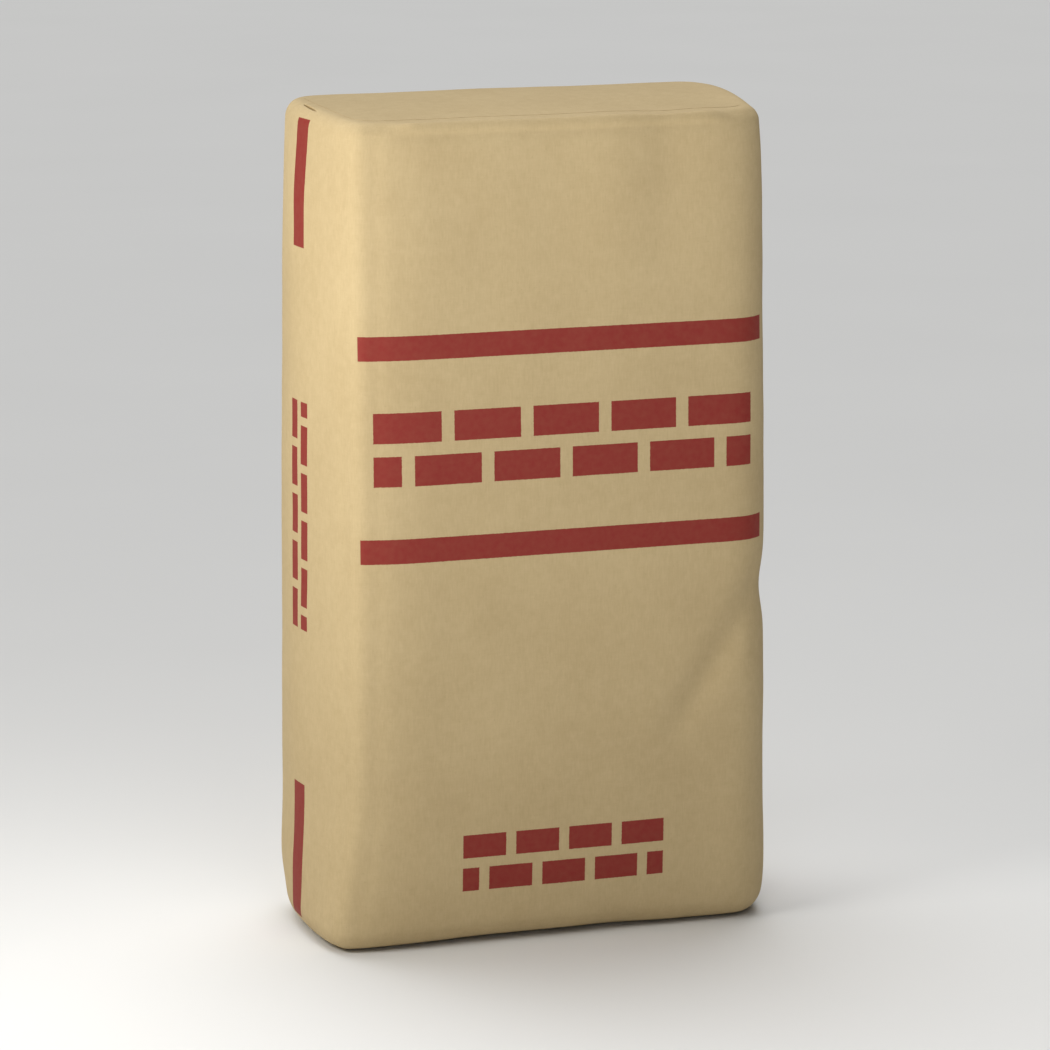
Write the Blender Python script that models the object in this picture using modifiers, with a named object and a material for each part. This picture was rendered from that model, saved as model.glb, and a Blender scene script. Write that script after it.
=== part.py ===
"""A 25 kg valve sack of cement, filled, glued shut and standing on its end.

Metres, +Z up. The broad printed front faces -Y, the filling valve is at the top of the narrow
side at -X, and the origin is on the ground under the middle of the sack.
"""

import bmesh
import bpy
from mathutils import Vector

# Filled size, over the cover sheets
HEIGHT = 0.500
WIDTH = 0.280
DEPTH = 0.146

# How the filled shape departs from a box
WIDTH_TAPER = 0.020       # share of the width lost at the top and gained at the foot
DEPTH_TAPER = 0.020       # the same for the depth
END_PINCH = 0.110         # share of the depth lost at both ends, where the folds hold it in
SIDE_BULGE = 0.006        # how far the narrow sides swell out at their middle line

# Loops of edges that let the straight box swell, as shares of the width, depth and height
WIDTH_LOOPS = (-1 / 6, 1 / 6)
DEPTH_LOOPS = (-1 / 4, 0.0, 1 / 4)
HEIGHT_LOOPS = (1 / 6, 1 / 3, 1 / 2, 2 / 3, 5 / 6)

# Rounding of the edges
CORNER_RADIUS = 0.025     # the four upright edges
TOP_SHARE = 0.46          # rounding of the top edges, as a share of the upright ones
FOOT_SHARE = 0.70         # rounding of the foot's edges
EDGE_SEGMENTS = 6
FOLD_ANGLE = 0.9          # radians, bends sharper than this are edges of the sack and not its swell

# Paper, drawn thicker than the real plies so that each sheet is a sound solid
SACK_WALL = 0.0006
COVER_SHEET = 0.0004
SLEEVE_WALL = 0.0004
TOUCHING_GAP = 0.0003

# Cover sheets glued over the folded ends
COVER_LENGTH = 0.246
COVER_WIDTH = 0.100
COVER_CORNER = 0.010      # rounding of each sheet's corners

# Valve sleeve, a flat paper tube that lies under the folded top
SLEEVE_WIDTH = 0.080
SLEEVE_LENGTH = 0.105
SLEEVE_HEIGHT = 0.0020
SLEEVE_INSET = 0.0175     # from the widest point of the narrow side to the sleeve's mouth

# The part of the valve's mouth that stands open, a slit in the rounded edge above the narrow side
MOUTH_WIDTH = 0.028
MOUTH_HEIGHT = 0.0014
MOUTH_DROP = 0.0013       # from the top of the sack to the top of the slit
MOUTH_MIDDLE = 0.003      # how far behind the sack's middle plane the slit lies

SACK_FOOT = COVER_SHEET + TOUCHING_GAP
SACK_TOP = HEIGHT - COVER_SHEET - TOUCHING_GAP


def clear_scene():
    """Remove what the file holds, so that the script can be run again."""
    for old in list(bpy.data.objects):
        bpy.data.objects.remove(old, do_unlink=True)


def new_collection(name):
    """Add a collection to the scene."""
    collection = bpy.data.collections.new(name)
    bpy.context.scene.collection.children.link(collection)
    return collection


def new_material(name, colour, roughness):
    """Make a Principled material of one plain colour."""
    material = bpy.data.materials.new(name)
    material.use_nodes = True
    shader = material.node_tree.nodes["Principled BSDF"]
    shader.inputs["Base Color"].default_value = (*colour, 1.0)
    shader.inputs["Roughness"].default_value = roughness
    shader.inputs["Metallic"].default_value = 0.0
    material.diffuse_color = (*colour, 1.0)
    return material


def new_object(name, bm, collection, material=None):
    """Turn a bmesh into a named object."""
    mesh = bpy.data.meshes.new(name)
    bm.to_mesh(mesh)
    bm.free()
    thing = bpy.data.objects.new(name, mesh)
    collection.objects.link(thing)
    if material:
        mesh.materials.append(material)
    return thing


def add_box(name, low, high, collection, material=None):
    """Add a box between two corners."""
    bm = bmesh.new()
    bmesh.ops.create_cube(bm, size=1.0)
    size = Vector(high) - Vector(low)
    bmesh.ops.scale(bm, vec=size, verts=bm.verts)
    bmesh.ops.translate(bm, vec=Vector(low) + size / 2, verts=bm.verts)
    return new_object(name, bm, collection, material)


def cut_loops(bm, axis, places):
    """Cut a loop of edges across the cage at each place along an axis."""
    for place in places:
        point = Vector()
        normal = Vector()
        point[axis] = place
        normal[axis] = 1.0
        everything = list(bm.verts) + list(bm.edges) + list(bm.faces)
        bmesh.ops.bisect_plane(bm, geom=everything, plane_co=point, plane_no=normal)


def swell(point):
    """Move a point of the straight box to its place on the filled sack."""
    up = 2 * (point.z - SACK_FOOT) / (SACK_TOP - SACK_FOOT) - 1
    across = 2 * point.x / WIDTH
    away = 2 * point.y / DEPTH
    point.x *= 1 - WIDTH_TAPER * up
    point.y *= (1 - DEPTH_TAPER * up) * (1 - END_PINCH * up * up)
    point.x += across * abs(across) * SIDE_BULGE * (-away * away)


def mark_edge_rounding(bm):
    """Give each long edge of the sack its share of the corner radius."""
    weight = bm.edges.layers.float.new("bevel_weight_edge")
    for edge in bm.edges:
        if edge.calc_face_angle(0.0) < FOLD_ANGLE:
            continue
        middle = (edge.verts[0].co.z + edge.verts[1].co.z) / 2
        if middle > SACK_TOP - TOUCHING_GAP:
            edge[weight] = TOP_SHARE
        elif middle < SACK_FOOT + TOUCHING_GAP:
            edge[weight] = FOOT_SHARE
        else:
            edge[weight] = 1.0


def sack_form(name, collection, material):
    """Add the closed outer form of the filled sack, with live rounding."""
    bm = bmesh.new()
    bmesh.ops.create_cube(bm, size=1.0)
    bmesh.ops.scale(bm, vec=(WIDTH, DEPTH, SACK_TOP - SACK_FOOT), verts=bm.verts)
    bmesh.ops.translate(bm, vec=(0, 0, (SACK_TOP + SACK_FOOT) / 2), verts=bm.verts)
    cut_loops(bm, 0, [WIDTH * share for share in WIDTH_LOOPS])
    cut_loops(bm, 1, [DEPTH * share for share in DEPTH_LOOPS])
    cut_loops(bm, 2, [HEIGHT * share for share in HEIGHT_LOOPS])
    for vert in bm.verts:
        swell(vert.co)
    mark_edge_rounding(bm)
    form = new_object(name, bm, collection, material)
    bevel = form.modifiers.new("Rounded edges", "BEVEL")
    bevel.limit_method = "WEIGHT"
    bevel.width = CORNER_RADIUS
    bevel.segments = EDGE_SEGMENTS
    return form


def smooth(thing):
    """Shade an object smooth, with its folds kept crisp."""
    thing.data.shade_smooth()
    thing.data.set_sharp_from_angle(angle=FOLD_ANGLE)


def add_paper_sack(collection, cutters, material):
    """Add the kraft paper sack: a thin wall all round, open only at the valve's mouth."""
    sack = sack_form("paper_sack", collection, material)
    wall = sack.modifiers.new("Paper wall", "SOLIDIFY")
    wall.thickness = SACK_WALL
    wall.offset = -1.0
    top = SACK_TOP - MOUTH_DROP
    cutter = add_box(
        "valve_mouth_cutter",
        (-WIDTH, MOUTH_MIDDLE - MOUTH_WIDTH / 2, top - MOUTH_HEIGHT),
        (sleeve_corners()[0].x, MOUTH_MIDDLE + MOUTH_WIDTH / 2, top),
        cutters,
    )
    hide_cutter(cutter)
    mouth = sack.modifiers.new("Valve mouth", "BOOLEAN")
    mouth.operation = "DIFFERENCE"
    mouth.solver = "EXACT"
    mouth.object = cutter
    smooth(sack)
    return sack


def hide_cutter(cutter):
    """Keep a cutter out of renders and show it as wire."""
    cutter.hide_render = True
    cutter.display_type = "WIRE"


def add_cement_fill(collection, cutters, material):
    """Add the cement, which fills the sack up to the valve sleeve."""
    fill = sack_form("cement_fill", collection, material)
    inset = fill.modifiers.new("Inside the paper", "DISPLACE")
    inset.direction = "NORMAL"
    inset.mid_level = 0.0
    inset.strength = -(SACK_WALL + TOUCHING_GAP)
    low, high = sleeve_corners()
    room = Vector((TOUCHING_GAP, TOUCHING_GAP, TOUCHING_GAP))
    low -= room
    high += room
    low.x = -WIDTH
    high.z = HEIGHT
    cutter = add_box("sleeve_pocket_cutter", low, high, cutters)
    hide_cutter(cutter)
    pocket = fill.modifiers.new("Sleeve pocket", "BOOLEAN")
    pocket.operation = "DIFFERENCE"
    pocket.solver = "EXACT"
    pocket.object = cutter
    smooth(fill)
    return fill


def sleeve_corners():
    """Give the lowest and highest corner of the flat valve sleeve."""
    top = SACK_TOP - SACK_WALL - TOUCHING_GAP
    mouth = -WIDTH / 2 + SLEEVE_INSET
    low = Vector((mouth, -SLEEVE_WIDTH / 2, top - SLEEVE_HEIGHT))
    high = Vector((mouth + SLEEVE_LENGTH, SLEEVE_WIDTH / 2, top))
    return low, high


def add_valve_sleeve(collection, material):
    """Add the valve sleeve, a pressed paper tube that is open at both of its ends."""
    low, high = sleeve_corners()
    sleeve = add_box("valve_sleeve", low, high, collection, material)
    bm = bmesh.new()
    bm.from_mesh(sleeve.data)
    ends = [face for face in bm.faces if round(abs(face.normal.x)) == 1]
    bmesh.ops.delete(bm, geom=ends, context="FACES")
    bm.to_mesh(sleeve.data)
    bm.free()
    wall = sleeve.modifiers.new("Paper wall", "SOLIDIFY")
    wall.thickness = SLEEVE_WALL
    wall.offset = -1.0
    return sleeve


def add_cover_sheet(name, foot, collection, material):
    """Add one of the two sheets glued over the folded ends, with its underside at a height."""
    sheet = add_box(
        name,
        (-COVER_LENGTH / 2, -COVER_WIDTH / 2, foot),
        (COVER_LENGTH / 2, COVER_WIDTH / 2, foot + COVER_SHEET),
        collection,
        material,
    )
    bm = bmesh.new()
    bm.from_mesh(sheet.data)
    corners = [edge for edge in bm.edges if edge.verts[0].co.z != edge.verts[1].co.z]
    bmesh.ops.bevel(bm, geom=corners, offset=COVER_CORNER, segments=3, affect="EDGES", profile=0.5)
    bm.to_mesh(sheet.data)
    bm.free()
    return sheet


def main():
    clear_scene()
    sack_parts = new_collection("cement_bag")
    cutters = new_collection("cutters")
    kraft = new_material("kraft_paper", (0.56, 0.42, 0.22), 0.85)
    sleeve_paper = new_material("valve_sleeve_paper", (0.50, 0.36, 0.20), 0.85)
    cement = new_material("cement", (0.36, 0.36, 0.35), 0.95)
    add_paper_sack(sack_parts, cutters, kraft)
    add_cement_fill(sack_parts, cutters, cement)
    add_valve_sleeve(sack_parts, sleeve_paper)
    add_cover_sheet("bottom_cover_sheet", 0.0, sack_parts, kraft)
    add_cover_sheet("top_cover_sheet", HEIGHT - COVER_SHEET, sack_parts, kraft)


main()
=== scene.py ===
import math

import bmesh
import bpy
import numpy as np
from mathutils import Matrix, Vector, noise


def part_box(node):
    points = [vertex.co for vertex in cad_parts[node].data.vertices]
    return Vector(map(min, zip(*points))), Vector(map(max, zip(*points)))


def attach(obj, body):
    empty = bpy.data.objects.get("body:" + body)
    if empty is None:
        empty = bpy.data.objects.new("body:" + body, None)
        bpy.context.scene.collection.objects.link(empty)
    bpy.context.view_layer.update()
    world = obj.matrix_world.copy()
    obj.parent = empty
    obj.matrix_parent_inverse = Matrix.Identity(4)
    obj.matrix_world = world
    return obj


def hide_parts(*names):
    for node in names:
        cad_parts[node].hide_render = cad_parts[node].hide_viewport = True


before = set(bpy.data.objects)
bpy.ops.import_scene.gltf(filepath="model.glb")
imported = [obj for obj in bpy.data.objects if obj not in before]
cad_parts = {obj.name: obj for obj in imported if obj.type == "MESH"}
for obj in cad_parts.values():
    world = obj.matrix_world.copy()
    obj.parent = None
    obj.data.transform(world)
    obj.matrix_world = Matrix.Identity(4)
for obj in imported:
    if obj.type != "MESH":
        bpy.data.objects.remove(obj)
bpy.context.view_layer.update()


# Camera
# A long lens looks down a little on the sack from its left front corner, as a catalogue
# picture is taken, so that its upright edges stay nearly parallel.
LENS = 152.8              # millimetres, on a sensor 36 mm wide
CAMERA_PLACE = (-0.8203, -2.5038, 0.8026)
CAMERA_TURN = 18.18       # degrees, from straight ahead towards the right
CAMERA_TILT = 12.04       # degrees, down

bpy.ops.object.camera_add(location=CAMERA_PLACE)
camera = bpy.context.object
camera.rotation_euler = (math.radians(90 - CAMERA_TILT), 0, math.radians(-CAMERA_TURN))
camera.data.lens = LENS
bpy.context.scene.camera = camera


# Paper sack
# Two plies of brown kraft paper, glued into a tube and folded over into a flat block at each end.
# Filled with 25 kg of powder it stands firm, with rounded edges, a few creases and one dent.
SACK_WIDTH = 0.2812
SACK_DEPTH = 0.146
SACK_LOW, SACK_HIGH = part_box("paper_sack")
SACK_FOOT = SACK_LOW.z
SACK_TOP = SACK_HIGH.z
SACK_HEIGHT = SACK_TOP - SACK_FOOT
SACK_MIDDLE = (SACK_TOP + SACK_FOOT) / 2
CORNER_RADIUS = 0.021     # the four upright edges
TOP_RADIUS = 0.0110       # the edges round the top
FOOT_RADIUS = 0.0145      # the edges round the foot
CORNER_STEPS = 6
CELL = 0.0105             # the width of a cell of the mesh before it is subdivided
SAME_PLACE = 0.00001      # points nearer to each other than this are one

# How the straight block swells. Each span says where a change begins and ends, counted from the
# sack's middle, with 1 at its surface.
WIDTH_TAPER = 0.017       # share of the width lost at the top and gained at the foot
DEPTH_TAPER = 0.020       # the same for the depth
END_PINCH = 0.110         # share of the depth lost at both ends, where the folds hold it in
SIDE_BULGE = 0.007        # how far the narrow sides swell out at their middle line
SIDE_FLAT = 0.0025        # how much of that swell is lost where the side meets the folded top
SIDE_FLAT_SPAN = (0.75, 1)         # upwards
SIDE_LEAN = 0.0125        # how far the left side is pressed in towards its front edge
LEAN_START = 0.020        # where that begins, behind the sack's middle plane
LEAN_CURVE = 1.4          # above 1 it begins gently
LEAN_SPAN = (0.3, 0.85)            # to the left
FOOT_LEAN = 0.18          # the share of the lean that is left at the foot
FOOT_LEAN_SPAN = (-0.99, -0.62)    # upwards
LEAN_BULGE = 0.003        # how much less the leaning part swells
FACE_ROUND = (0.0046, 0.004)       # how far the broad faces fall away at their left and right edges
FACE_FLAT = (0.62, 0.75)           # the share of each half of their width that stays flat
TOP_FALL = 0.0045         # how far the top slopes down towards the front
TOP_FALL_SPAN = (-0.5, 1.0)        # to the front
EDGE_FOCUS = 4            # the higher, the more only the middle of a rounded edge stands out
FOLD_SQUARE = 0.30        # how far the fold in the top's front edge stands out of its rounding
FOLD_FADE = (0.70, 0.86)           # to either side
LEFT_SQUARE = 0.15        # how far the left front edge stands out of its rounding
FOOT_LIFT = 0.0023        # how far the foot's front edge stands off the ground
FOOT_LIFT_PLACE = -0.05   # where it is highest, a little left of the middle
FOOT_LIFT_REACH = 0.65    # how far that reaches to either side
FOOT_LIFT_SPAN = (0.2, 1.0)        # to the front

# Two creases along the top of each broad face, from folding the block
FOLD_HEIGHTS = (0.4926, 0.4867)
FOLD_DEPTH = 0.0003
FOLD_WIDTH = 0.0022
FOLD_FACING = (0.2, 0.6)  # how squarely the paper has to face front or back

# Unevenness all over: how far it stands out, the size of its bumps and its seed
RIPPLES = ((0.0006, 0.09, 3.0), (0.00025, 0.028, 11.0))

# Soft bulges and hollows: the place, how far it reaches along each axis, how far it stands out
PUSHES = (
    ((0.141, -0.060, 0.206), (0.020, 0.030, 0.017), -0.0034),   # a dent in the right edge
    ((0.142, -0.050, 0.030), (0.030, 0.060, 0.040), 0.0018),    # powder settled in the right foot
    ((0.140, -0.060, 0.004), (0.018, 0.030, 0.014), -0.0009),   # whose lowest corner stays round
    ((0.134, -0.004, 0.4965), (0.016, 0.046, 0.014), 0.0025),   # a full right edge of the top
    ((-0.142, -0.030, 0.004), (0.030, 0.040, 0.016), 0.0013),   # the foot's left edge is full
    ((-0.140, 0.062, 0.010), (0.025, 0.025, 0.016), -0.0044),   # but drawn in at the back corner
    ((-0.142, 0.040, 0.036), (0.030, 0.060, 0.028), 0.0016),    # and fuller again above that
    ((0.040, -0.066, 0.006), (0.020, 0.030, 0.018), -0.0013),   # a little fold under the front
    ((0.138, -0.035, 0.488), (0.020, 0.030, 0.012), -0.0012),   # the top's worn front right corner
    ((0.036, -0.073, 0.462), (0.020, 0.030, 0.060), 0.0008),    # two crests below the front fold
    ((0.098, -0.073, 0.462), (0.018, 0.030, 0.060), 0.0008),
    ((-0.004, -0.073, 0.462), (0.018, 0.030, 0.055), -0.0004),  # and the hollows beside them
    ((0.068, -0.073, 0.462), (0.013, 0.030, 0.055), -0.0007),
    ((0.124, -0.073, 0.142), (0.013, 0.030, 0.030), 0.0008),    # the ridge beside the valley
)

# The valley that runs down from the dent, and the shares of its length over which it deepens and
# runs out
VALLEY_START = Vector((0.120, -0.073, 0.200))
VALLEY_END = Vector((0.075, -0.073, 0.128))
VALLEY_DEPTH = 0.0030
VALLEY_WIDTH = 0.010
VALLEY_RISE = (-0.7, -0.1)
VALLEY_FADE = (0.6, 1.3)

SEAM_PLACE = 0.078        # the glued lap that closes the tube, on the back
SEAM_LAP = 0.034
SEAM_STEP = 0.0005
SEAM_EDGE = 0.0006        # half the width of the step at its free edge
SEAM_BLEND = 0.004        # the same at its other edge
SEAM_FACING = (0.7, 0.9)  # how squarely the paper has to face the back

FOOT_HELD = 0.004         # folds and dents fade out over this height above the flat foot

SLIT_PLACE = (-0.1285, 0.0070, 0.4977)   # the valve's mouth, in the edge above the left side
SLIT_SIZE = (0.0008, 0.0118, 0.0036)     # half its height, half its length, how far it goes in
SLIT_TURN = (2.4, -32)                   # degrees that it leans with the top's slope and its edge
SLIT_STEPS = 32


def start_piece(name, size=(1, 1, 1)):
    """Name the new primitive, give it its size and put its place into its mesh."""
    piece = bpy.context.object
    piece.name = name
    piece.data.name = name
    piece.scale = size
    bpy.ops.object.transform_apply(location=True, rotation=True, scale=True)
    return piece


def pick(piece, kind, test):
    """Select, in edit mode, only the edges or faces that pass a test."""
    bpy.ops.mesh.select_mode(type=kind)
    bpy.ops.mesh.select_all(action="DESELECT")
    bm = bmesh.from_edit_mesh(piece.data)
    for item in bm.edges if kind == "EDGE" else bm.faces:
        if test(item):
            item.select_set(True)
    bmesh.update_edit_mesh(piece.data)


def both_ends(edge, height):
    """Tell whether both ends of an edge lie at a height."""
    return all(abs(vert.co.z - height) < SAME_PLACE for vert in edge.verts)


def upright(edge):
    """Tell whether an edge runs from the foot to the top."""
    return abs(edge.verts[0].co.z - edge.verts[1].co.z) > SACK_HEIGHT / 2


def cut_across(axis, places):
    """Cut the whole piece with a plane at each place along an axis."""
    normal = [float(index == axis) for index in range(3)]
    for place in places:
        bpy.ops.mesh.select_all(action="SELECT")
        bpy.ops.mesh.bisect(plane_co=[place * part for part in normal], plane_no=normal)


def evenly(start, end, cell):
    """Give places from start to end that are about a cell apart."""
    count = max(1, round((end - start) / cell))
    return [start + (end - start) * index / count for index in range(count + 1)]


def read_points(piece, normals=False):
    """Give a mesh's points, or its points' normals, as an array."""
    count = len(piece.data.vertices)
    numbers = np.zeros(count * 3, np.float32)
    if normals:
        piece.data.vertex_normals.foreach_get("vector", numbers)
    else:
        piece.data.vertices.foreach_get("co", numbers)
    return numbers.reshape(-1, 3).astype(float)


def write_points(piece, points):
    """Put moved points back into a mesh."""
    piece.data.vertices.foreach_set("co", points.astype(np.float32).ravel())
    piece.data.update()


def bell(distance):
    """A smooth hump, 1 at no distance and nearly 0 at twice its width."""
    return np.exp(-distance * distance)


def ramp(values, start, end):
    """A smooth step from 0 at start to 1 at end."""
    share = np.clip((values - start) / (end - start), 0, 1)
    return share * share * (3 - 2 * share)


def ripple(points, size, seed):
    """Smooth noise from -1 to 1 with bumps of about a size."""
    offset = Vector((seed, seed * 1.7, seed * 2.3))
    return np.array([noise.noise(Vector(point) / size + offset) for point in points])


def top_drop(depths):
    """Give how far the top lies below its back edge at places across its depth."""
    return TOP_FALL * ramp(-2 * depths / SACK_DEPTH, *TOP_FALL_SPAN)


def stand_out(forward, aside):
    """Tell, from 0 to 1, how near the middle of a rounded edge a point lies."""
    return (2 * forward * aside / (forward ** 2 + aside ** 2 + 1e-12)) ** EDGE_FOCUS


def side_lean(points, up):
    """Give how far the left side's points are pressed in, at heights from -1 to 1."""
    share = np.clip((LEAN_START - points[:, 1]) / (LEAN_START + SACK_DEPTH / 2), 0, 1)
    share = share ** LEAN_CURVE * ramp(-2 * points[:, 0] / SACK_WIDTH, *LEAN_SPAN)
    return SIDE_LEAN * share * (FOOT_LEAN + (1 - FOOT_LEAN) * ramp(up, *FOOT_LEAN_SPAN))


def swell(points):
    """Move the straight block's points to where the filled sack stands."""
    up = (points[:, 2] - SACK_MIDDLE) / (SACK_HEIGHT / 2)
    across = 2 * points[:, 0] / SACK_WIDTH
    away = 2 * points[:, 1] / SACK_DEPTH
    left = across < 0
    leaned = side_lean(points, up)

    # The top's front edge and the left front edge stand out of their roundings
    forward = np.maximum(TOP_RADIUS - SACK_DEPTH / 2 - points[:, 1], 0)
    upward = np.maximum(points[:, 2] - SACK_TOP + TOP_RADIUS, 0)
    fold = FOLD_SQUARE * stand_out(forward, upward) * (1 - ramp(np.abs(across), *FOLD_FADE))
    points[:, 1] -= forward * fold
    points[:, 2] += upward * fold
    forward = np.maximum(CORNER_RADIUS - SACK_DEPTH / 2 - points[:, 1], 0)
    aside = np.maximum(CORNER_RADIUS - SACK_WIDTH / 2 - points[:, 0], 0)
    edge = LEFT_SQUARE * stand_out(forward, aside)
    points[:, 0] -= aside * edge
    points[:, 1] -= forward * edge

    # The whole sack narrows upwards, and its depth is held in by the folds at both ends
    points[:, 0] *= 1 - WIDTH_TAPER * up
    points[:, 1] *= (1 - DEPTH_TAPER * up) * (1 - END_PINCH * up * up)

    # The broad faces fall away at their edges, and the narrow sides swell and lean
    flat = np.where(left, *FACE_FLAT)
    beside = np.maximum(np.abs(across) - flat, 0) / (1 - flat)
    fall = np.where(left, *FACE_ROUND) * beside ** 2
    points[:, 1] -= away * fall
    bulge = SIDE_BULGE - LEAN_BULGE * (left & (away < 0))
    sunk = bulge * away * away + SIDE_FLAT * (1 - away * away) ** 2 * ramp(up, *SIDE_FLAT_SPAN)
    points[:, 0] += leaned - across * np.abs(across) * sunk

    # The top slopes, and the foot's front edge stands off the ground
    top = ramp(points[:, 2], SACK_TOP - 2 * TOP_RADIUS, SACK_TOP)
    points[:, 2] -= top_drop(points[:, 1]) * top
    foot = 1 - ramp(points[:, 2], SACK_FOOT, SACK_FOOT + 2 * FOOT_RADIUS)
    lift = FOOT_LIFT * bell((across - FOOT_LIFT_PLACE) / FOOT_LIFT_REACH)
    points[:, 2] += lift * ramp(-away, *FOOT_LIFT_SPAN) * foot
    return points


def block_sack(name, cell, steps):
    """Model the closed block of the sack, with rounded edges and an even mesh."""
    bpy.ops.object.select_all(action="DESELECT")
    bpy.ops.mesh.primitive_cube_add(size=1, location=(0, 0, SACK_MIDDLE))
    block = start_piece(name, (SACK_WIDTH, SACK_DEPTH, SACK_HEIGHT))
    bpy.ops.object.mode_set(mode="EDIT")
    pick(block, "EDGE", upright)
    bpy.ops.mesh.bevel(offset=CORNER_RADIUS, segments=steps, affect="EDGES")
    pick(block, "EDGE", lambda edge: both_ends(edge, SACK_TOP))
    bpy.ops.mesh.bevel(offset=TOP_RADIUS, segments=steps, affect="EDGES")
    pick(block, "EDGE", lambda edge: both_ends(edge, SACK_FOOT))
    bpy.ops.mesh.bevel(offset=FOOT_RADIUS, segments=steps, affect="EDGES")
    flat_width = SACK_WIDTH / 2 - CORNER_RADIUS
    flat_depth = SACK_DEPTH / 2 - CORNER_RADIUS
    cut_across(0, evenly(-flat_width, flat_width, cell))
    cut_across(1, evenly(-flat_depth, flat_depth, cell))
    cut_across(2, evenly(SACK_FOOT + FOOT_RADIUS, SACK_TOP - TOP_RADIUS, cell)[1:-1])
    bpy.ops.mesh.select_all(action="SELECT")
    bpy.ops.mesh.remove_doubles(threshold=SAME_PLACE)
    bpy.ops.mesh.normals_make_consistent(inside=False)
    bpy.ops.object.mode_set(mode="OBJECT")
    return block


def subdivide(piece, levels):
    """Smooth and divide a piece's mesh, and apply it."""
    finer = piece.modifiers.new("Finer paper", "SUBSURF")
    finer.levels = levels
    finer.render_levels = levels
    bpy.ops.object.modifier_apply(modifier=finer.name)


kraft_sack = block_sack("kraft_sack", CELL, CORNER_STEPS)
subdivide(kraft_sack, 2)
write_points(kraft_sack, swell(read_points(kraft_sack)))


def crumple(piece):
    """Press the folds, the dent and the soft unevenness of a filled sack into it."""
    points = read_points(piece)
    outward = read_points(piece, normals=True)
    broad = ramp(np.abs(outward[:, 1]), *FOLD_FACING)
    push = np.zeros(len(points))
    for height in FOLD_HEIGHTS:
        push -= FOLD_DEPTH * bell((points[:, 2] - height) / FOLD_WIDTH) * broad
    for distance, size, seed in RIPPLES:
        push += distance * ripple(points, size, seed)
    for place, reach, distance in PUSHES:
        push += distance * bell(np.linalg.norm((points - place) / reach, axis=1))

    # The valley that runs down from the dent
    along = np.array(VALLEY_END - VALLEY_START)
    length = np.linalg.norm(along)
    along /= length
    reach = (points - VALLEY_START) @ along
    aside = np.linalg.norm(points - VALLEY_START - np.outer(reach, along), axis=1)
    strength = ramp(reach, *(share * length for share in VALLEY_RISE))
    strength *= 1 - ramp(reach, *(share * length for share in VALLEY_FADE))
    push -= VALLEY_DEPTH * bell(aside / VALLEY_WIDTH) * strength

    # The lap on the back, with one free edge and one that runs out under the paper
    lap = ramp(points[:, 0], SEAM_PLACE - SEAM_EDGE, SEAM_PLACE + SEAM_EDGE)
    glued = SEAM_PLACE + SEAM_LAP
    lap *= 1 - ramp(points[:, 0], glued - SEAM_BLEND, glued + SEAM_BLEND)
    push += SEAM_STEP * lap * ramp(outward[:, 1], *SEAM_FACING)

    # All of it fades out at the foot, which stays flat on the ground
    push *= ramp(points[:, 2], SACK_FOOT, SACK_FOOT + FOOT_HELD)
    points += outward * push[:, None]
    points[:, 2] = np.maximum(points[:, 2], SACK_FOOT)
    write_points(piece, points)


crumple(kraft_sack)


def open_valve(piece):
    """Cut the valve's narrow mouth into the rounded edge above the left side."""
    bpy.ops.object.select_all(action="DESELECT")
    bpy.ops.mesh.primitive_cylinder_add(
        vertices=SLIT_STEPS,
        radius=1,
        depth=2,
        location=SLIT_PLACE,
        rotation=(math.radians(SLIT_TURN[0]), math.radians(SLIT_TURN[1]), 0),
    )
    cutter = start_piece("slit_cutter", SLIT_SIZE)
    mouth = piece.modifiers.new("Valve mouth", "BOOLEAN")
    mouth.operation = "DIFFERENCE"
    mouth.solver = "EXACT"
    mouth.object = cutter
    bpy.context.view_layer.objects.active = piece
    bpy.ops.object.modifier_apply(modifier=mouth.name)
    bpy.data.objects.remove(cutter)


open_valve(kraft_sack)


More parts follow.
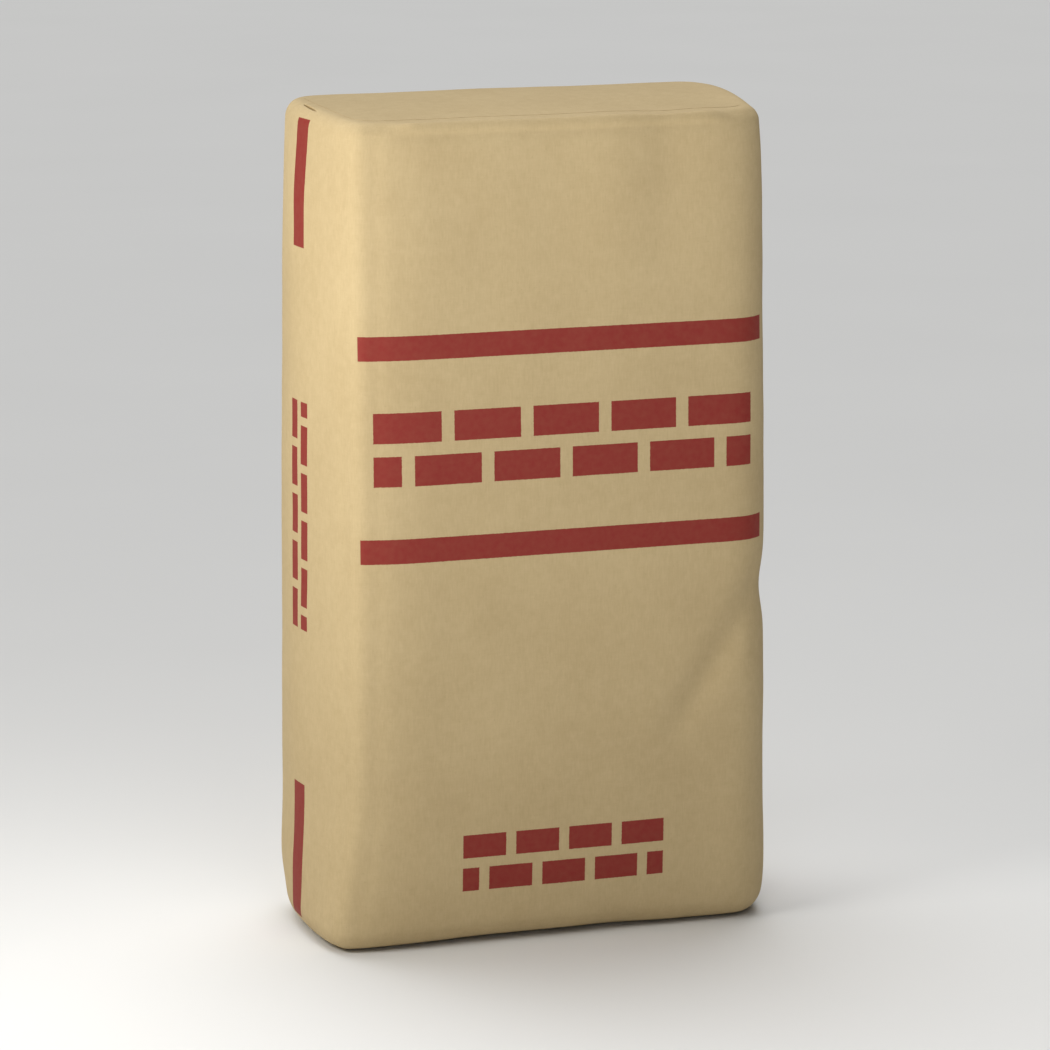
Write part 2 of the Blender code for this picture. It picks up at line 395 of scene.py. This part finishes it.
class Wire:
    """A socket of a material's nodes, so that shader maths reads as sums."""

    def __init__(self, socket):
        self.socket = socket

    def node(self, kind, settings, sockets, output=0):
        """Add a node: first its settings, then its sockets' values or links."""
        tree = self.socket.id_data
        added = tree.nodes.new(kind)
        for name, value in settings.items():
            setattr(added, name, value)
        for name, value in sockets.items():
            if isinstance(value, Wire):
                tree.links.new(value.socket, added.inputs[name])
            else:
                added.inputs[name].default_value = value
        return Wire(added.outputs[output])

    def maths(self, operation, first, second):
        return self.node("ShaderNodeMath", {"operation": operation}, {0: first, 1: second})

    def __add__(self, other):
        return self.maths("ADD", self, other)

    __radd__ = __add__

    def __sub__(self, other):
        return self.maths("SUBTRACT", self, other)

    def __rsub__(self, other):
        return self.maths("SUBTRACT", other, self)

    def __mul__(self, other):
        return self.maths("MULTIPLY", self, other)

    __rmul__ = __mul__

    def scaled(self, factors):
        """Multiply a vector's parts by three numbers."""
        return self.node("ShaderNodeVectorMath", {"operation": "MULTIPLY"}, {0: self, 1: factors})

    def step(self, start, end):
        """A smooth step from 0 at start to 1 at end."""
        sockets = {"Value": self, "From Min": start, "From Max": end}
        return self.node("ShaderNodeMapRange", {"interpolation_type": "SMOOTHSTEP"}, sockets)

    def between(self, low, high, soft):
        """1 between two values and 0 outside, with soft ends."""
        return self.step(low - soft, low + soft) * (1 - self.step(high - soft, high + soft))

    def cloud(self, scale, detail=3.0, roughness=0.5):
        """Noise round one half, read at a vector."""
        sockets = {"Vector": self, "Scale": scale, "Detail": detail, "Roughness": roughness}
        return self.node("ShaderNodeTexNoise", {}, sockets)

    def mix(self, first, second):
        """Mix two colours by this value."""
        sockets = {0: self, 6: first, 7: second}
        return self.node("ShaderNodeMix", {"data_type": "RGBA"}, sockets, output=2)

    def bump(self, strength, distance):
        """Turn this height into a normal."""
        sockets = {"Height": self, "Strength": strength, "Distance": distance}
        return self.node("ShaderNodeBump", {}, sockets)

    def parts(self):
        """Take a vector apart into its X, Y and Z."""
        split = self.node("ShaderNodeSeparateXYZ", {}, {0: self}).socket.node
        return [Wire(socket) for socket in split.outputs]


def new_finish(name):
    """Start a material and give it with its shader and its object coordinates."""
    material = bpy.data.materials.new(name)
    material.use_nodes = True
    nodes = material.node_tree.nodes
    shader = nodes["Principled BSDF"]
    place = Wire(nodes.new("ShaderNodeTexCoord").outputs["Object"])
    return material, shader, place


def feed(shader, sockets):
    """Link or set the shader's sockets by name."""
    for name, value in sockets.items():
        if isinstance(value, Wire):
            shader.id_data.links.new(value.socket, shader.inputs[name])
        else:
            shader.inputs[name].default_value = value


KRAFT = (0.62, 0.482, 0.266, 1)
KRAFT_DARK = (0.50, 0.374, 0.193, 1)
SPECK = (0.30, 0.20, 0.09, 1)
INK = (0.264, 0.0218, 0.0168, 1)

# Noise in the paper, in bumps to the metre
CLOUDY = 14.0             # slow changes of tone
FORMATION = 160.0         # how unevenly the pulp lies
FIBRES_ALONG = (1100.0, 1100.0, 170.0)     # fibres that run up the sack
FIBRES_ACROSS = (190.0, 190.0, 1300.0)     # and round it
GRAIN = 420.0             # only in its relief
SPECKS = 700.0
SPECK_LIMITS = (0.70, 0.78)
TONE_LIMITS = (0.23, 0.87)
PAPER_ROUGH = 0.82
PAPER_SPECULAR = 0.3
PAPER_BUMP = (0.14, 0.0003)       # its strength and its depth

# The print: two bands across each broad face, and bars down each narrow side
BAND_HEIGHTS = ((0.3581, 0.3724), (0.2384, 0.2530))
BAND_ENDS = (-0.1208, 0.1290)
BAR_HEIGHTS = ((0.4168, 0.4920), (0.0092, 0.0918))
BAR_EDGES = (-0.0078, 0.0088)
SHARP = 0.0002            # softness of the ink's edge
WOBBLE = 0.0005           # how far that edge strays
WOBBLE_SIZE = 900.0       # in bumps to the metre, as below
INK_PATCHES = 260.0
INK_COVER = (0.93, 0.08)  # how well the ink hides the paper at its thinnest, and how much more
INK_SMOOTH = 0.14         # how much less rough than the paper it is

# Plain rows of bricks, two courses each: the lower left corner, the size, the joint and the number
# of bricks in a course
FACE_BRICKS = ((-0.1130, 0.2841), (0.2335, 0.0435), 0.0080, 5)
FOOT_BRICKS = ((-0.0595, 0.0350), (0.1265, 0.0350), 0.0065, 4)
SIDE_BRICKS = ((0.1870, -0.0118), (0.1380, 0.0240), 0.0055, 5)
COURSES = 2
JOINT_SOFT = 0.08


def paper(place, light, dark):
    """Give the colour and the height of bare kraft paper."""
    cloudy = place.cloud(CLOUDY, 2.0)
    formation = place.cloud(FORMATION, 4.0, 0.6)
    along = place.scaled(FIBRES_ALONG).cloud(1.0, 2.0)
    across = place.scaled(FIBRES_ACROSS).cloud(1.0, 2.0)
    tone = 0.35 * cloudy + 0.3 * formation + 0.3 * along + 0.15 * across
    colour = tone.step(*TONE_LIMITS).mix(dark, light)
    specks = place.cloud(SPECKS, 1.0).step(*SPECK_LIMITS)
    colour = (0.15 * specks).mix(colour, SPECK)
    height = 0.5 * along + 0.2 * across + 0.5 * place.cloud(GRAIN, 3.0)
    return colour, height


def feed_paper(shader, colour, roughness, height):
    """Give a shader the sheen and the relief that all the kraft paper has."""
    feed(shader, {
        "Base Color": colour,
        "Roughness": roughness,
        "Specular IOR Level": PAPER_SPECULAR,
        "Normal": height.bump(*PAPER_BUMP),
    })


def bricks(along, across, wall):
    """Print a wall of bricks, laid in running bond, on two coordinates of the surface."""
    (left, low), (length, height), joint, count = wall
    moved = {"X": along + (joint / 2 - left), "Y": across + (joint / 2 - low)}
    joints = along.node("ShaderNodeTexBrick", {"offset": 0.5, "squash": 1.0}, {
        "Vector": along.node("ShaderNodeCombineXYZ", {}, moved),
        "Scale": 1.0,
        "Mortar Size": joint / 2,
        "Mortar Smooth": JOINT_SOFT,
        "Brick Width": (length + joint) / count,
        "Row Height": (height + joint) / COURSES,
    }, output=1)
    inside = along.between(left, left + length, SHARP) * across.between(low, low + height, SHARP)
    return (1 - joints) * inside


def printed_kraft():
    """Kraft paper with bands, bars and rows of bricks printed in one dull red."""
    material, shader, place = new_finish("printed_kraft")
    colour, height = paper(place, KRAFT, KRAFT_DARK)
    wobble = place.cloud(WOBBLE_SIZE, 2.0) * WOBBLE - WOBBLE / 2
    x, y, z = place.parts()
    ends = x.between(*BAND_ENDS, SHARP)
    x, y, z = x + wobble, y + wobble, z + wobble
    bands = z.between(*BAND_HEIGHTS[0], SHARP) + z.between(*BAND_HEIGHTS[1], SHARP)
    bands = bands * ends
    bars = z.between(*BAR_HEIGHTS[0], SHARP) + z.between(*BAR_HEIGHTS[1], SHARP)
    bars = bars * y.between(*BAR_EDGES, SHARP)
    walls = bricks(x, z, FACE_BRICKS) + bricks(x, z, FOOT_BRICKS) + bricks(z, y, SIDE_BRICKS)
    ink = bands + bars + walls
    cover = ink * (INK_COVER[0] + INK_COVER[1] * place.cloud(INK_PATCHES, 3.0))
    feed_paper(shader, cover.mix(colour, INK), PAPER_ROUGH - INK_SMOOTH * ink, height)
    return material


kraft_sack.data.materials.append(printed_kraft())
kraft_sack.data.shade_smooth()
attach(kraft_sack, "root")
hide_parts("paper_sack")


# Top and bottom cover sheets
# One rectangle of the same kraft paper is pasted over each folded end, to close the folds.
COVER_LENGTH = 0.246
COVER_WIDTH = 0.100
COVER_CORNER = 0.013
COVER_CORNER_STEPS = 5
COVER_CELL = 0.005
COVER_PAPER = 0.00012
COVER_BEND = 40           # degrees, sharper bends than this are the paper's cut edges
PRESS_FROM = 0.005        # how far off the sack each sheet is before it is pressed on
TOP_PASTE = 0.00004       # between the sheet and the folds
FOOT_PASTE = SACK_FOOT - COVER_PAPER


def plain_kraft(name, light, dark):
    """Unprinted kraft paper between two shades."""
    material, shader, place = new_finish(name)
    colour, height = paper(place, light, dark)
    feed_paper(shader, colour, PAPER_ROUGH, height)
    return material


def lay_sheet(name, height, paste, side):
    """Cut a cover sheet with rounded corners and press it onto one end of the sack."""
    bpy.ops.object.select_all(action="DESELECT")
    bpy.ops.mesh.primitive_plane_add(size=1, location=(0, 0, height))
    sheet = start_piece(name, (COVER_LENGTH, COVER_WIDTH, 1))
    bpy.ops.object.mode_set(mode="EDIT")
    bpy.ops.mesh.select_all(action="SELECT")
    bpy.ops.mesh.bevel(offset=COVER_CORNER, segments=COVER_CORNER_STEPS, affect="VERTICES")
    cut_across(0, evenly(-COVER_LENGTH / 2, COVER_LENGTH / 2, COVER_CELL)[1:-1])
    cut_across(1, evenly(-COVER_WIDTH / 2, COVER_WIDTH / 2, COVER_CELL)[1:-1])
    bpy.ops.object.mode_set(mode="OBJECT")
    points = read_points(sheet)
    points[:, 0] += side_lean(points, side)
    write_points(sheet, points)
    press = sheet.modifiers.new("Pressed on the folds", "SHRINKWRAP")
    press.target = kraft_sack
    press.wrap_method = "PROJECT"
    press.use_project_z = True
    press.use_negative_direction = True
    press.use_positive_direction = True
    press.offset = paste
    bpy.ops.object.modifier_apply(modifier=press.name)
    ply = sheet.modifiers.new("Paper", "SOLIDIFY")
    ply.thickness = COVER_PAPER
    ply.offset = side
    bpy.ops.object.modifier_apply(modifier=ply.name)
    sheet.data.materials.append(cover_paper)
    sheet.data.shade_smooth()
    bpy.ops.object.shade_smooth_by_angle(angle=math.radians(COVER_BEND))
    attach(sheet, "root")
    return sheet


cover_paper = plain_kraft("cover_paper", KRAFT, KRAFT_DARK)
top_sheet = lay_sheet("top_sheet", SACK_TOP + PRESS_FROM, TOP_PASTE, 1)
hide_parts("top_cover_sheet")
foot_sheet = lay_sheet("foot_sheet", SACK_FOOT - PRESS_FROM, FOOT_PASTE, -1)
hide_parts("bottom_cover_sheet")


# Filling valve
# A flat tube of kraft paper lies under the folded top, open at the narrow side where the nozzle
# goes in. The cement presses it shut once the sack is full.
VALVE_LOW, VALVE_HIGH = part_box("valve_sleeve")
VALVE_FOLD = 0.0008       # rounding of its folded long edges
VALVE_FOLD_STEPS = 3
VALVE_PAPER = 0.0003
VALVE_CELL = 0.005
VALVE_KRAFT = (0.54, 0.40, 0.21, 1)
VALVE_KRAFT_DARK = (0.44, 0.31, 0.15, 1)


def lengthwise(edge):
    """Tell whether an edge runs along the sleeve."""
    return abs(edge.verts[0].co.x - edge.verts[1].co.x) > SAME_PLACE


bpy.ops.object.select_all(action="DESELECT")
bpy.ops.mesh.primitive_cube_add(size=1, location=(VALVE_LOW + VALVE_HIGH) / 2)
filling_valve = start_piece("filling_valve", VALVE_HIGH - VALVE_LOW)
bpy.ops.object.mode_set(mode="EDIT")
pick(filling_valve, "FACE", lambda face: abs(face.normal.x) > 0.9)
bpy.ops.mesh.delete(type="ONLY_FACE")
pick(filling_valve, "EDGE", lengthwise)
bpy.ops.mesh.bevel(offset=VALVE_FOLD, segments=VALVE_FOLD_STEPS, affect="EDGES")
cut_across(0, evenly(VALVE_LOW.x, VALVE_HIGH.x, VALVE_CELL)[1:-1])
cut_across(1, evenly(VALVE_LOW.y + VALVE_FOLD, VALVE_HIGH.y - VALVE_FOLD, VALVE_CELL))
bpy.ops.object.mode_set(mode="OBJECT")
valve_points = read_points(filling_valve)
valve_points[:, 0] += side_lean(valve_points, 1.0)
valve_points[:, 2] -= top_drop(valve_points[:, 1])
write_points(filling_valve, valve_points)
valve_wall = filling_valve.modifiers.new("Paper", "SOLIDIFY")
valve_wall.thickness = VALVE_PAPER
valve_wall.offset = -1
bpy.ops.object.modifier_apply(modifier=valve_wall.name)
filling_valve.data.materials.append(plain_kraft("valve_paper", VALVE_KRAFT, VALVE_KRAFT_DARK))
filling_valve.data.shade_smooth()
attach(filling_valve, "root")
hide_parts("valve_sleeve")


# Packed cement
# Fine grey powder fills the sack up to the valve, pressed by its own weight into the sack's form.
CEMENT_CELL = 0.020
CEMENT_STEPS = 4
CEMENT_GAP = 0.0009       # the paper round it and a little air
VALVE_ROOM = 0.0010       # left free round the filling valve
HOLLOW_SLOPE = 0.012      # how far the hollow under the valve runs out beside it
HOLLOW_DEPTHS = (0.012, 0.006)    # below the sack's top, where the hollow ends and is full
CLOD_HEIGHT = 0.0004      # of the clods in its surface
CLOD_SIZE = 0.012
CLOD_SEED = 5.0
CEMENT_LIGHT = (0.41, 0.41, 0.40, 1)
CEMENT_DARK = (0.27, 0.27, 0.26, 1)
CLODS = 90.0              # noise in its colour, in bumps to the metre
GRAINS = 2200.0
GRAIN_LIMITS = (0.35, 0.65)


def valve_hollow(points):
    """Tell, from 0 to 1, how far each point lies under the filling valve."""
    hollow = 1 - ramp(points[:, 0], VALVE_HIGH.x, VALVE_HIGH.x + HOLLOW_SLOPE)
    hollow *= 1 - ramp(np.abs(points[:, 1]), VALVE_HIGH.y, VALVE_HIGH.y + HOLLOW_SLOPE)
    return hollow * ramp(points[:, 2], *(SACK_TOP - depth for depth in HOLLOW_DEPTHS))


def cement_finish():
    """Dull grey powder with fine grains, paler where it is dry and loose."""
    material, shader, place = new_finish("packed_cement_powder")
    clods = place.cloud(CLODS, 4.0, 0.6)
    grains = place.cloud(GRAINS, 2.0)
    tone = (0.6 * clods + 0.4 * grains).step(*GRAIN_LIMITS)
    feed(shader, {
        "Base Color": tone.mix(CEMENT_DARK, CEMENT_LIGHT),
        "Roughness": 0.95,
        "Normal": (clods + 0.4 * grains).bump(0.5, 0.001),
    })
    return material


packed_cement = block_sack("packed_cement", CEMENT_CELL, CEMENT_STEPS)
subdivide(packed_cement, 1)
write_points(packed_cement, swell(read_points(packed_cement)))
crumple(packed_cement)
cement_points = read_points(packed_cement)
cement_clods = CLOD_HEIGHT * (1 + ripple(cement_points, CLOD_SIZE, CLOD_SEED))
cement_points -= read_points(packed_cement, normals=True) * (CEMENT_GAP + cement_clods)[:, None]
cement_points[:, 2] -= valve_hollow(cement_points) * (VALVE_HIGH.z - VALVE_LOW.z + VALVE_ROOM)
write_points(packed_cement, cement_points)
packed_cement.data.materials.append(cement_finish())
packed_cement.data.shade_smooth()
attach(packed_cement, "root")
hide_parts("cement_fill")


# Floor and light
# A pale studio floor under a wide soft sky lamp that stands a little behind the sack. A near soft
# lamp on the left gives the sack its form, and two weaker ones fill the front.
FLOOR_SIZE = 30
FLOOR_DARK = (0.73, 0.73, 0.72, 1)
FLOOR_LIGHT = (0.76, 0.76, 0.75, 1)
FLOOR_CLOUDS = 3.0        # in bumps to the metre

# Soft square lamps: the name, the place, the point that it faces, the size, the power in watts and
# the colour
LAMPS = (
    ("key_lamp", (-0.563, -0.207, 0.483), (-0.05, -0.05, 0.35), 0.3, 2.42, (1.0, 0.98, 0.94)),
    ("front_lamp", (-0.02, -0.55, 0.70), (0.05, -0.05, 0.42), 0.4, 1.32, (1.0, 1.0, 1.0)),
    ("low_lamp", (-0.10, -0.80, 0.30), (0.00, -0.05, 0.30), 0.4, 0.7, (1.0, 1.0, 1.0)),
)
SKY_POWER = 2.55
SKY_WIDTH = 1.0           # radians, as seen from the floor
SKY_TILT = 26             # degrees, from overhead towards the back
SKY_HEIGHT = 3
ROOM_LIGHT = 0.03         # weak light from all sides

bpy.ops.object.select_all(action="DESELECT")
bpy.ops.mesh.primitive_plane_add(size=FLOOR_SIZE)
floor = start_piece("studio_floor")
floor_paint, floor_shader, floor_place = new_finish("floor_paint")
feed(floor_shader, {
    "Base Color": floor_place.cloud(FLOOR_CLOUDS).mix(FLOOR_DARK, FLOOR_LIGHT),
    "Roughness": 0.9,
})
floor.data.materials.append(floor_paint)

for name, place, target, size, power, colour in LAMPS:
    bpy.ops.object.light_add(type="AREA", location=place)
    lamp = bpy.context.object
    lamp.name = name
    lamp.data.size = size
    lamp.data.energy = power
    lamp.data.color = colour
    lamp.visible_camera = False
    lamp.rotation_euler = (Vector(target) - Vector(place)).to_track_quat("-Z", "Y").to_euler()

bpy.ops.object.light_add(type="SUN", location=(0, 0, SKY_HEIGHT))
sky_lamp = bpy.context.object
sky_lamp.name = "sky_lamp"
sky_lamp.data.energy = SKY_POWER
sky_lamp.data.angle = SKY_WIDTH
sky_lamp.rotation_euler = (math.radians(-SKY_TILT), 0, 0)

world = bpy.data.worlds.new("studio")
world.use_nodes = True
world.node_tree.nodes["Background"].inputs["Color"].default_value = (1, 1, 1, 1)
world.node_tree.nodes["Background"].inputs["Strength"].default_value = ROOM_LIGHT
bpy.context.scene.world = world
bpy.context.scene.view_settings.view_transform = "Standard"
